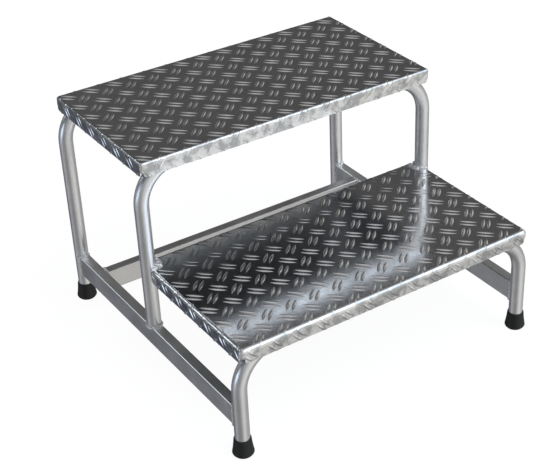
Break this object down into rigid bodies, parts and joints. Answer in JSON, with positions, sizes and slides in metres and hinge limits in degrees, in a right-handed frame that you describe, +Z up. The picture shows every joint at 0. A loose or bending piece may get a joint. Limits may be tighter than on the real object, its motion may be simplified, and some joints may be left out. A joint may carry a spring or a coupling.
{
  "type": "mounting block",
  "caption": "Two-step riders' mounting block: folded tread-plate trays on a welded round-tube frame with rectangular tie rails and push-fit rubber feet.",
  "frame": {"origin": "on the floor, at the centre of the footprint", "axes": "+X along the treads (left to right facing the steps), +Y from the low step to the high step, +Z up"},
  "size_m": [0.6344, 0.6074, 0.424],
  "materials": {
    "tread_plate": "bright rolled two-bar tread plate",
    "tube": "satin mill finish",
    "weld_metal": "as-welded, rippled",
    "rubber": "matt black",
    "disc_steel": "zinc plated"
  },
  "bodies": {
    "root": {"foot_disc_front_left": "disc_steel", "foot_disc_front_right": "disc_steel", "foot_disc_rear_left": "disc_steel", "foot_disc_rear_right": "disc_steel", "foot_front_left": "rubber", "foot_front_right": "rubber", "foot_rear_left": "rubber", "foot_rear_right": "rubber", "front_bow": "tube", "lower_tread": "tread_plate", "middle_bow": "tube", "rear_bow": "tube", "rear_cross_rail": "tube", "side_rail_left": "tube", "side_rail_right": "tube", "upper_tread": "tread_plate", "weld_cross_rail_left": "weld_metal", "weld_cross_rail_right": "weld_metal", "weld_lower_corners": "weld_metal", "weld_lower_tread_left": "weld_metal", "weld_lower_tread_right": "weld_metal", "weld_middle_leg_left": "weld_metal", "weld_middle_leg_right": "weld_metal", "weld_rail_front_left": "weld_metal", "weld_rail_front_right": "weld_metal", "weld_rail_rear_left": "weld_metal", "weld_rail_rear_right": "weld_metal", "weld_stitches_lower_front": "weld_metal", "weld_stitches_upper_front": "weld_metal", "weld_stitches_upper_rear": "weld_metal", "weld_upper_corners": "weld_metal"}
  },
  "joints": []
}
